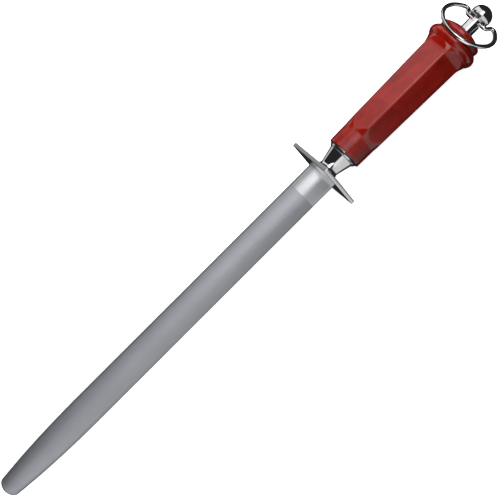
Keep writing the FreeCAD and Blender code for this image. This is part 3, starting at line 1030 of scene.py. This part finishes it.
@dataclass
class Bolster:
    """The flared casting between the guard and the handle, with the lip ring behind it."""

    foot: float = 10.8
    foot_edge: float = 0.4
    waist: float = 7.15
    cone: float = 9.85
    spigot: float = 6.5
    lip_front: float = 10.9
    lip_back: float = 12.5
    lip_bow: float = 0.15
    lip_gap: float = 0.05

    def build(self, finishes: Finishes) -> list[bpy.types.Object]:
        """The casting and its ring."""
        return [self.build_casting(finishes), self.build_lip(finishes)]

    def build_casting(self, finishes: Finishes) -> bpy.types.Object:
        """The casting: a foot, a hollow curve, the cone and the spigot inside the handle.

        Args:
            finishes: Every finish of the steel.

        Returns:
            The casting.
        """
        front, end = (corner.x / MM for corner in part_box("bolster"))
        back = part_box("ferrule_ring")[0].x / MM
        fillet = self.foot - self.waist
        curve_start = front + self.foot_edge
        centre = (curve_start + fillet, self.foot)
        curve = [(centre[0] - fillet * math.cos(turn), centre[1] - fillet * math.sin(turn))
                 for turn in spread(0.0, math.pi / 2, 20)]
        outer: list[Pair] = [(front, self.foot - 0.15), (front + 0.15, self.foot)]
        outer += curve
        outer += straight((curve[-1][0], self.waist), (back, self.cone), 6)[1:-1]
        rim = arc_through((back - 0.3, self.cone - 0.07), (back - 0.06, self.cone - 0.12),
                          (back, self.cone - 0.35), 4)
        outer += rim
        outer += [(back, self.spigot), (end, self.spigot)]
        shapes = [circle(radius) for _, radius in outer] + [tang_slot(), tang_slot()]
        outline = outer + [(end, 1.0), (front, 1.0)]
        casting = turned_piece("bolster", outline, even_angles(144), shapes)
        weighted_normals(casting)
        return dress(casting, Body.STEEL, "bolster", "bolster_chrome", finishes.chrome)

    def build_lip(self, finishes: Finishes) -> bpy.types.Object:
        """The ring: a rounded front edge, then a flare up to the handle.

        Args:
            finishes: Every finish of the steel.

        Returns:
            The ring.
        """
        front, back = (corner.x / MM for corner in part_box("ferrule_ring"))
        rounding = (back - front) / 4
        slack = rounding * (1 - HALF_ROOT)
        nose = arc_through((front, self.lip_front - rounding), (front + slack, self.lip_front - slack),
                           (front + rounding, self.lip_front), 6)
        middle = ((front + rounding + back) / 2, (self.lip_front + self.lip_back) / 2)
        bow = (middle[0] + self.lip_bow, middle[1] - self.lip_bow)
        flare = arc_through(nose[-1], bow, (back - 0.12, self.lip_back - 0.12), 8)[1:]
        bore = self.spigot + self.lip_gap
        outline = nose + flare + [(back, self.lip_back - 0.05), (back, bore), (front, bore)]
        lip = turned_piece("ferrule_ring", outline, even_angles(144))
        weighted_normals(lip)
        return dress(lip, Body.STEEL, "ferrule_ring", "ferrule_chrome", finishes.chrome)


@dataclass
class HandleGrip:
    """The six-sided moulded handle with its collar, bead, disc and dome."""

    collar: float = 13.0
    collar_swell: float = 0.25
    collar_length: float = 15.4
    collar_edge: float = 0.3
    shoulder: float = 5.6
    front_apothem: float = 13.4
    back_apothem: float = 14.95
    grip: float = 76.4
    ridge: float = 3.3
    scoop: float = 7.5
    scoop_rise: float = 2.1
    bead_crest: float = 19.1
    bead_root: float = 17.05
    bead_width: float = 8.4
    bead_overlap: float = 0.2
    front_clear: float = 0.3
    back_clear: float = 0.2
    shoulder_crown: float = 0.55
    shoulder_hollow: float = 0.1
    front_slope: float = 0.6
    notch: float = 15.3
    notch_width: float = 1.7
    disc: float = 16.2
    disc_width: float = 3.6
    dome: float = 4.7
    dome_step: float = 0.3
    softness: float = 0.4
    spigot: float = 6.55
    tang_bore: float = 3.15
    sleeve_bore: float = 5.15
    sleeve_depth: float = 12.5
    slot_spare: float = 0.5
    slot_step: float = 0.2

    def __post_init__(self) -> None:
        """Reads where it starts from the frame and works out its places."""
        self.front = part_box("handle_grip")[0].x / MM
        self.collar_end = self.front + self.collar_length
        self.grip_end = self.collar_end + self.grip
        self.bead_start = self.grip_end + self.scoop - self.bead_overlap
        self.bead_end = self.bead_start + self.bead_width
        self.notch_end = self.bead_end + self.notch_width
        self.dome_start = self.notch_end + self.disc_width
        self.crown = self.dome_start + self.dome

    def apothem(self, x: float) -> float:
        """Distance of the six flats from the axis.

        Args:
            x: Place along the steel.

        Returns:
            The distance.
        """
        slope = (self.back_apothem - self.front_apothem) / self.grip
        if x < self.collar_end:
            return self.front_apothem + self.front_slope * (self.collar_end - x)
        flat = self.front_apothem + slope * (x - self.collar_end)
        scooped = max(x - self.grip_end, 0.0) / self.scoop
        return flat + self.scoop_rise * scooped**2

    def ridge_reach(self, apothem: float) -> float:
        """Distance from the axis to the crown of a ridge."""
        return (apothem - self.ridge) / math.cos(math.pi / 6) + self.ridge

    def six_sided(self, angle: float, apothem: float) -> float:
        """Distance from the axis to the six-sided shape with rounded ridges, one towards +Z.

        Args:
            angle: Angle from +Y towards +Z.
            apothem: Distance of the six flats from the axis.

        Returns:
            The distance.
        """
        from_ridge = abs(math.remainder(angle - math.pi / 2, math.pi / 3))
        from_flat = math.pi / 6 - from_ridge
        tangent = math.atan2((apothem - self.ridge) * math.tan(math.pi / 6), apothem)
        if from_flat <= tangent:
            return apothem / math.cos(from_flat)
        centre = (apothem - self.ridge) / math.cos(math.pi / 6)
        return centre * math.cos(from_ridge) + math.sqrt(self.ridge**2 - (centre * math.sin(from_ridge)) ** 2)

    def outer_outline(self) -> list[Pair]:
        """The turned outline from the front face over the bead to the dome.

        Returns:
            Points (x, radius) in order.
        """
        edge, slack = self.collar_edge, self.collar_edge * (1 - HALF_ROOT)
        collar_back = self.collar + self.collar_swell
        ridge_front = self.ridge_reach(self.front_apothem) + self.front_clear
        ridge_back = self.ridge_reach(self.back_apothem) + self.back_clear
        shoulder_end = self.collar_end + self.shoulder
        middle = (self.collar_end + self.shoulder * self.shoulder_crown,
                  (collar_back + ridge_front) / 2 - self.shoulder_hollow)
        points = arc_through((self.front, self.collar - edge), (self.front + slack, self.collar - slack),
                             (self.front + edge, self.collar), 6)
        points += straight((self.front + edge, self.collar), (self.collar_end, collar_back), 8)[1:-1]
        points += arc_through((self.collar_end, collar_back), middle, (shoulder_end, ridge_front), 30)
        points += straight((shoulder_end, ridge_front), (self.grip_end, ridge_back), 36)[1:]
        points += straight((self.grip_end, ridge_back), (self.bead_start, self.bead_root), 28)[1:-1]
        crest_x = (self.bead_start + self.bead_end) / 2
        points += arc_through((self.bead_start, self.bead_root), (crest_x, self.bead_crest),
                              (self.bead_end, self.bead_root), 40)
        groove = self.notch_end - self.notch_width / 3
        third = self.disc_width / 3
        points += softened([(self.bead_end, self.bead_root, 0.0), (groove, self.notch, 0.35),
                            (self.notch_end, self.notch + 0.2, 0.2),
                            (self.notch_end + third / 2, self.disc - 0.15, 0.4),
                            (self.notch_end + 2 * third, self.disc, 0.0)], 4)[1:]
        points += self.dome_outline()
        return points

    def dome_outline(self) -> list[Pair]:
        """From the disc's edge over the dome to the hole for the sleeve nut.

        Returns:
            Points (x, radius) in order.
        """
        rim = self.disc - self.dome_step
        radius = (rim**2 + self.dome**2) / (2 * self.dome)
        start_turn = math.asin(rim / radius)
        end_turn = math.asin((self.sleeve_bore + 0.3) / radius)
        centre = self.crown - radius
        turns = spread(start_turn, end_turn, 26)
        dome = [(centre + radius * math.cos(turn), radius * math.sin(turn)) for turn in turns]
        lip_x = dome[-1][0]
        edge = [(self.dome_start - 0.5, self.disc - 0.08), (self.dome_start - 0.15, rim + 0.05)]
        lip = [(lip_x - 0.02, self.sleeve_bore + 0.1), (lip_x - 0.25, self.sleeve_bore)]
        return edge + dome[1:] + lip

    def inner_outline(self) -> list[Pair]:
        """From the sleeve nut's hole forward through the bore to the front face.

        Returns:
            Points (x, radius) in order.
        """
        shoulder = self.crown - self.sleeve_depth
        spigot_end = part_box("bolster")[1].x / MM + self.slot_spare
        slot_end = TANG_FLAT_END + self.slot_spare
        slot = self.spigot - self.slot_step
        return [(shoulder, self.sleeve_bore), (shoulder, self.tang_bore), (slot_end, self.tang_bore),
                (slot_end, slot), (spigot_end, slot), (spigot_end, self.spigot),
                (self.front, self.spigot)]

    def angles(self) -> list[float]:
        """Angles round the handle, close together on the six ridges.

        Returns:
            The angles.
        """
        close = math.radians(8.5)
        angles: list[float] = []
        for side in range(6):
            ridge = math.pi / 2 + side * math.pi / 3
            angles += spread(ridge - close, ridge + close, 30)
            angles += spread(ridge + close, ridge + math.pi / 3 - close, 22)[1:-1]
        return angles

    def build(self, finishes: Finishes) -> list[bpy.types.Object]:
        """The handle, dressed.

        Args:
            finishes: Every finish of the steel.

        Returns:
            The handle alone.
        """
        outer = self.outer_outline()
        inner = self.inner_outline()
        shapes = [self.cut_shape(x, radius) for x, radius in outer]
        shapes += [circle(radius) for _, radius in inner]
        grip = turned_piece("handle_grip", outer + inner, self.angles(), shapes)
        return [dress(grip, Body.STEEL, "handle_grip", "grip_plastic", finishes.plastic)]

    def cut_shape(self, x: float, radius: float) -> RingShape:
        """One ring of the handle: the turned outline cut by the six flats, softly.

        Args:
            x: Place along the steel.
            radius: Radius of the turned outline there.

        Returns:
            The ring shape.
        """
        if x > self.bead_end:
            return circle(radius)
        apothem = self.apothem(x)
        return lambda angle: smooth_least(radius, self.six_sided(angle, apothem), self.softness)


@dataclass
class SwivelNut:
    """The round sleeve nut that clamps the handle, and the washers under it."""

    radius: float = 5.0
    edge: float = 0.4
    front_wall: float = 5.0
    thread: float = 3.05
    bore: float = 2.05

    def build(self, finishes: Finishes) -> list[bpy.types.Object]:
        """The nut and its two washers.

        Args:
            finishes: Every finish of the steel.

        Returns:
            The nut and the washers.
        """
        start, end = (corner.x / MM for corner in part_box("swivel_sleeve_nut"))
        step = end - self.front_wall
        outline = softened([(start, self.radius, self.edge), (end, self.radius, self.edge),
                            (end, self.bore, 0.15), (step, self.bore, 0.0), (step, self.thread, 0.0),
                            (start, self.thread, 0.0)], 6)
        nut = turned_piece("swivel_sleeve_nut", outline, even_angles(96))
        weighted_normals(nut)
        dressed = dress(nut, Body.STEEL, "swivel_sleeve_nut", "sleeve_chrome", finishes.chrome)
        return [dressed, repaint("clamp_washer", finishes.zinc), repaint("spring_washer", finishes.spring)]


@dataclass
class BallPin:
    """The ball with its neck and shank, free to turn in the sleeve nut, and the washer that holds it."""

    ball: float = 7.8
    ball_back: float = 7.2
    neck: float = 3.2
    neck_fillet: float = 0.5
    shank: float = 2.0
    peen: float = 2.6
    peen_chamfer: float = 0.3
    neck_chamfer: float = 0.2
    play: float = 0.1
    wire_hole: float = 1.56
    drill_length: float = 10.0

    def build(self, finishes: Finishes) -> list[bpy.types.Object]:
        """The pin and its washer.

        Args:
            finishes: Every finish of the steel.

        Returns:
            The pin and the washer.
        """
        tail, crown = (corner.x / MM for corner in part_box("swivel_ball_pin"))
        centre = crown - self.ball
        neck_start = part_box("swivel_sleeve_nut")[1].x / MM + self.play
        washer_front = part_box("retaining_washer")[0].x / MM
        flat = centre - math.sqrt(self.ball**2 - self.ball_back**2)
        edge_turn = math.atan2(self.ball_back, flat - centre)
        fillet = self.neck_fillet
        slack = fillet * (1 - HALF_ROOT)
        outline: list[Pair] = [(tail, 0.0), (tail, self.peen - self.peen_chamfer),
                               (tail + self.peen_chamfer, self.peen),
                               (washer_front, self.peen), (washer_front, self.shank),
                               (neck_start, self.shank), (neck_start, self.neck - self.neck_chamfer),
                               (neck_start + self.neck_chamfer, self.neck)]
        outline += arc_through((flat - fillet, self.neck), (flat - slack, self.neck + slack),
                               (flat, self.neck + fillet), 6)
        outline += [(flat, self.neck + 2.0), (flat, self.ball_back - 0.25),
                    (flat + 0.1, self.ball_back - 0.03)]
        outline += [(centre + self.ball * math.cos(turn), self.ball * math.sin(turn))
                    for turn in spread(edge_turn - 0.05, 0.0, 48)[:-1]]
        outline.append((crown, 0.0))
        pin = turned_piece("swivel_ball_pin", outline, even_angles(96), closed=False)
        self.drill(pin)
        weighted_normals(pin)
        dressed = dress(pin, Body.SWIVEL, "swivel_ball_pin", "ball_chrome", finishes.chrome)
        return [dressed, repaint("retaining_washer", finishes.zinc)]

    def drill(self, pin: bpy.types.Object) -> None:
        """Cuts the cross hole that the ring's two wire ends run in.

        Args:
            pin: The pin, which is changed.
        """
        swing = named(frame["joints"], "ring_swing")
        along = Vector(swing["axis"]).normalized()
        mesh = bmesh.new()
        bmesh.ops.create_cone(mesh, cap_ends=True, segments=48, radius1=self.wire_hole * MM,
                              radius2=self.wire_hole * MM, depth=self.drill_length * MM)
        turn = along.to_track_quat("Z", "Y").to_matrix().to_4x4()
        place = Matrix.Translation(Vector(swing["pos_m"])) @ turn
        bmesh.ops.transform(mesh, matrix=place, verts=mesh.verts)
        drill = as_object("drill", mesh)
        cut = pin.modifiers.new("cross_hole", "BOOLEAN")
        cut.operation = "DIFFERENCE"
        cut.solver = "EXACT"
        cut.object = drill
        bpy.context.view_layer.update()
        made = bpy.data.meshes.new_from_object(pin.evaluated_get(bpy.context.evaluated_depsgraph_get()))
        pin.modifiers.remove(cut)
        pin.data = made
        bpy.data.objects.remove(drill)
        for polygon in made.polygons:
            polygon.use_smooth = True
        made.set_sharp_from_angle(angle=math.radians(40.0))


@dataclass
class HangingRing:
    """The bent wire ring that the steel hangs from."""

    wire: float = 1.5
    bow: float = 20.1
    flank: float = 9.55
    bend: float = 3.6
    lobe: float = 2.4
    end_gap: float = 0.8
    end_chamfer: float = 0.25
    sides: int = 28

    def half_path(self) -> list[Pair]:
        """Centre line of one half, from its end inside the neck to the middle of the bow.

        Returns:
            Points (u, v): across the steel, and from the hinge to the bow.
        """
        top = -self.bend
        level_end = self.flank - self.bend
        lobe_u = self.flank + self.lobe
        drop = math.sqrt((self.bow - self.lobe) ** 2 - lobe_u**2) - self.bend
        towards = math.atan2(top - drop, lobe_u)
        join = (self.bow * math.cos(towards), drop + self.bow * math.sin(towards))
        middle = (towards - math.pi) / 2
        lobe_middle = (lobe_u + self.lobe * math.cos(middle), top + self.lobe * math.sin(middle))
        corner = (level_end + HALF_ROOT * self.bend, top + HALF_ROOT * self.bend)
        bow_turns = spread(towards, math.pi / 2, 44)
        path = [(u, 0.0) for u in spread(self.end_gap / 2, level_end, 6)]
        path += arc_through((level_end, 0.0), corner, (self.flank, top), 14)[1:]
        path += arc_through((self.flank, top), lobe_middle, join, 30)[1:]
        path += [(self.bow * math.cos(turn), drop + self.bow * math.sin(turn)) for turn in bow_turns][1:]
        return path

    def build(self, finishes: Finishes) -> list[bpy.types.Object]:
        """The ring, in the place where it hangs at rest.

        Args:
            finishes: Every finish of the steel.

        Returns:
            The ring alone.
        """
        swing = named(frame["joints"], "ring_swing")
        bow = named(frame["record"]["mounts"], "hanging_ring_bow")
        hinge = Vector(swing["pos_m"]) / MM
        across = Vector(swing["axis"]).normalized()
        down = (Vector(bow["pos_m"]) / MM - hinge).normalized()
        out = across.cross(down).normalized()
        level = TURN.inverted()
        half = self.half_path()
        line = half + [(-u, v) for u, v in reversed(half[:-1])]
        skin = Skin("hanging_ring")
        count = len(line)
        for index, (u, v) in enumerate(line):
            before, after = line[max(index - 1, 0)], line[min(index + 1, count - 1)]
            forward = Vector((after[0] - before[0], after[1] - before[1])).normalized()
            side = across * -forward.y + down * forward.x
            centre = hinge + across * u + down * v
            radius = self.wire - (self.end_chamfer if index in (0, count - 1) else 0.0)
            ring = [centre + side * (radius * math.cos(turn)) + out * (radius * math.sin(turn))
                    for turn in even_angles(self.sides)]
            skin.add([level @ point for point in ring])
        for index in range(count - 1):
            skin.bridge(index, index + 1)
        skin.mesh.faces.new(skin.rings[0])
        skin.mesh.faces.new(skin.rings[-1])
        return [dress(skin.done(), Body.RING, "hanging_ring", "ring_chrome", finishes.wire)]


# --------------------------------------------------------------------------------------------------
# Studio
# --------------------------------------------------------------------------------------------------


@dataclass(frozen=True)
class Softbox:
    """One soft panel of the light tent, placed by direction round the steel."""

    strength: float
    turn: Pair
    along: Pair = (-2.0, 2.0)
    turn_edge: float = 6.0
    along_edge: float = 0.12


@dataclass
class Studio:
    """Floor, backdrop, light tent and camera."""

    tent: tuple[Softbox, ...] = (
        Softbox(1.15, (-4.0, 32.0), (-0.13, 0.12), 14.0),
        Softbox(0.45, (32.0, 50.0), (-0.13, 0.10)),
        Softbox(0.70, (50.0, 74.0), (-0.13, 0.10)),
        Softbox(2.40, (-2.0, 24.0), (0.125, 0.65), 8.0, 0.04),
        Softbox(0.85, (24.0, 118.0), (0.125, 0.60), 6.0, 0.04),
        Softbox(0.60, (-50.0, -4.0), (-0.34, 0.085), 8.0, 0.06),
        Softbox(0.62, (-120.0, -50.0), (-0.34, 0.10), 10.0, 0.03),
        Softbox(0.95, (-64.0, -6.0), (-0.70, -0.34), 6.0, 0.06),
        Softbox(1.00, (-150.0, -25.0), (-2.0, -0.74)),
        Softbox(0.50, (106.0, 132.0), (-0.60, 0.10)),
        Softbox(0.55, (82.0, 100.0), (0.072, 0.106)),
    )
    dim: float = 0.02
    floor_glow: float = 0.9
    reach: float = 9.0
    camera_distance: float = 0.80
    view_width: float = 0.340
    target_x: float = -0.07015
    target_y: float = -0.0008
    axis_slope: float = math.radians(44.956)
    seam: float = math.radians(-130.0)
    key_size: Pair = (1.1, 0.9)
    key_power: float = 30.0
    key_distance: float = 1.5
    key_turn: float = math.radians(44.0)
    key_along: float = 0.15

    def build(self) -> None:
        """Everything round the steel."""
        self.build_tent()
        self.build_floor()
        self.build_key()
        self.build_camera()

    def build_tent(self) -> None:
        """The light tent: soft panels at set directions, dark gaps between them."""
        world = bpy.data.worlds.new("light_tent")
        bpy.context.scene.world = world
        world.use_nodes = True
        nodes, links = world.node_tree.nodes, world.node_tree.links
        background = nodes["Background"]
        towards = nodes.new("ShaderNodeTexCoord").outputs["Generated"]

        def calc(operation: str, first: object, second: object) -> bpy.types.NodeSocket:
            """One sum of two sockets or values.

            Args:
                operation: Blender's name of the sum.
                first: First socket or value.
                second: Second socket or value.

            Returns:
                The result's socket.
            """
            node = nodes.new("ShaderNodeMath")
            node.operation = operation
            for socket, value in zip(node.inputs, (first, second)):
                if isinstance(value, bpy.types.NodeSocket):
                    links.new(value, socket)
                else:
                    socket.default_value = value
            return node.outputs["Value"]

        def part(direction: Vector) -> bpy.types.NodeSocket:
            """How far a direction points along another.

            Args:
                direction: The other direction.

            Returns:
                The share's socket.
            """
            node = nodes.new("ShaderNodeVectorMath")
            node.operation = "DOT_PRODUCT"
            links.new(towards, node.inputs[0])
            node.inputs[1].default_value = direction
            return node.outputs["Value"]

        def edge(value: bpy.types.NodeSocket, middle: float, width: float) -> bpy.types.NodeSocket:
            """A soft step from 0 to 1 round a middle, or down again if the width is negative.

            Args:
                value: Where to read it.
                middle: Middle of the step.
                width: Width of the step.

            Returns:
                The step's socket.
            """
            node = nodes.new("ShaderNodeMapRange")
            node.interpolation_type = "SMOOTHSTEP"
            links.new(value, node.inputs["Value"])
            node.inputs["From Min"].default_value = middle - abs(width) / 2
            node.inputs["From Max"].default_value = middle + abs(width) / 2
            node.inputs["To Min"].default_value = 0.0 if width > 0 else 1.0
            node.inputs["To Max"].default_value = 1.0 if width > 0 else 0.0
            return node.outputs["Result"]

        along = part(Vector((1.0, 0.0, 0.0)))
        across = part(TURN @ Vector((0.0, 1.0, 0.0)))
        turn = calc("ARCTAN2", across, part(TURN @ Vector((0.0, 0.0, 1.0))))
        past_seam = calc("LESS_THAN", turn, self.seam)
        wrapped = calc("ADD", turn, calc("MULTIPLY", past_seam, math.tau))
        total: object = self.dim
        for box in self.tent:
            width = math.radians(box.turn_edge)
            panel = calc("MULTIPLY", edge(wrapped, math.radians(box.turn[0]), width),
                         edge(wrapped, math.radians(box.turn[1]), -width))
            if box.along[0] > -1.0:
                panel = calc("MULTIPLY", panel, edge(along, box.along[0], box.along_edge))
            if box.along[1] < 1.0:
                panel = calc("MULTIPLY", panel, edge(along, box.along[1], -box.along_edge))
            total = calc("ADD", calc("MULTIPLY", panel, box.strength), total)
        links.new(total, background.inputs["Strength"])
        background.inputs["Color"].default_value = (1.0, 1.0, 1.0, 1.0)

    def seen_only(self, piece: bpy.types.Object) -> None:
        """Keeps a stage piece out of reflections and shadows, so that the tent alone lights the steel.

        Args:
            piece: The stage piece.
        """
        piece.visible_diffuse = False
        piece.visible_glossy = False
        piece.visible_transmission = False
        piece.visible_shadow = False

    def build_floor(self) -> None:
        """A pale table and the pale room behind it."""
        table = NodeBench("pale_table")
        table.set(Base_Color=(0.8, 0.8, 0.8), Roughness=0.9, Emission_Color=(1.0, 1.0, 1.0),
                  Emission_Strength=self.floor_glow)
        grain = table.noise(table.place, 400.0)
        table.feed(table.surface.inputs["Normal"], table.relief(grain, 0.0001, 0.1))
        room = NodeBench("pale_room")
        room.set(Base_Color=(0.0, 0.0, 0.0), Roughness=1.0, Emission_Color=(1.0, 1.0, 1.0),
                 Emission_Strength=1.0)
        mesh = bmesh.new()
        bmesh.ops.create_circle(mesh, cap_ends=True, segments=96, radius=self.reach)
        floor = self.stage_piece("floor", mesh, table.material)
        floor.location.z = CAD_LOW.z
        mesh = bmesh.new()
        bmesh.ops.create_uvsphere(mesh, u_segments=64, v_segments=32, radius=self.reach * 1.1)
        self.stage_piece("backdrop", mesh, room.material)

    def stage_piece(self, name: str, mesh: bmesh.types.BMesh,
                    material: bpy.types.Material) -> bpy.types.Object:
        """Turns a mesh into a stage piece.

        Args:
            name: Its name.
            mesh: Its mesh, which is freed.
            material: Its material.

        Returns:
            The piece.
        """
        piece = as_object(name, mesh)
        piece.data.materials.append(material)
        self.seen_only(piece)
        return piece

    def build_key(self) -> None:
        """One large soft lamp over the +Y side."""
        lamp = bpy.data.lights.new("key", "AREA")
        lamp.shape = "ELLIPSE"
        lamp.size, lamp.size_y = self.key_size
        lamp.energy = self.key_power
        key = bpy.data.objects.new("key", lamp)
        towards = TURN @ Vector((self.key_along, math.sin(self.key_turn), math.cos(self.key_turn)))
        key.location = towards * self.key_distance
        key.rotation_mode = "QUATERNION"
        key.rotation_quaternion = towards.to_track_quat("Z", "Y")
        key.visible_camera = False
        key.visible_glossy = False
        bpy.context.scene.collection.objects.link(key)

    def build_camera(self) -> None:
        """A camera square to the blade's wide face, turned so that the steel lies on the slant."""
        lens = bpy.data.cameras.new("camera")
        lens.sensor_width = 36.0
        lens.lens = lens.sensor_width * self.camera_distance / self.view_width
        camera = bpy.data.objects.new("camera", lens)
        place = TURN @ Vector((self.target_x, self.target_y, self.camera_distance))
        roll = Matrix.Rotation(-self.axis_slope, 4, "Z")
        camera.matrix_world = Matrix.Translation(place) @ TURN @ roll
        bpy.context.scene.collection.objects.link(camera)
        bpy.context.scene.camera = camera
        bpy.context.scene.view_settings.view_transform = "Standard"


def main() -> None:
    """Builds every sub-assembly and the studio round them."""
    logging.basicConfig(level=logging.INFO, format="%(message)s")
    finishes = Finishes.mixed()
    assemblies = (SharpeningRod(), GuardPlate(), Bolster(), HandleGrip(), SwivelNut(), BallPin(),
                  HangingRing())
    for assembly in assemblies:
        for piece in assembly.build(finishes):
            log.info("%s: %s, %d vertices", type(assembly).__name__, piece.name, len(piece.data.vertices))
    Studio().build()


if __name__ == "__main__":
    main()
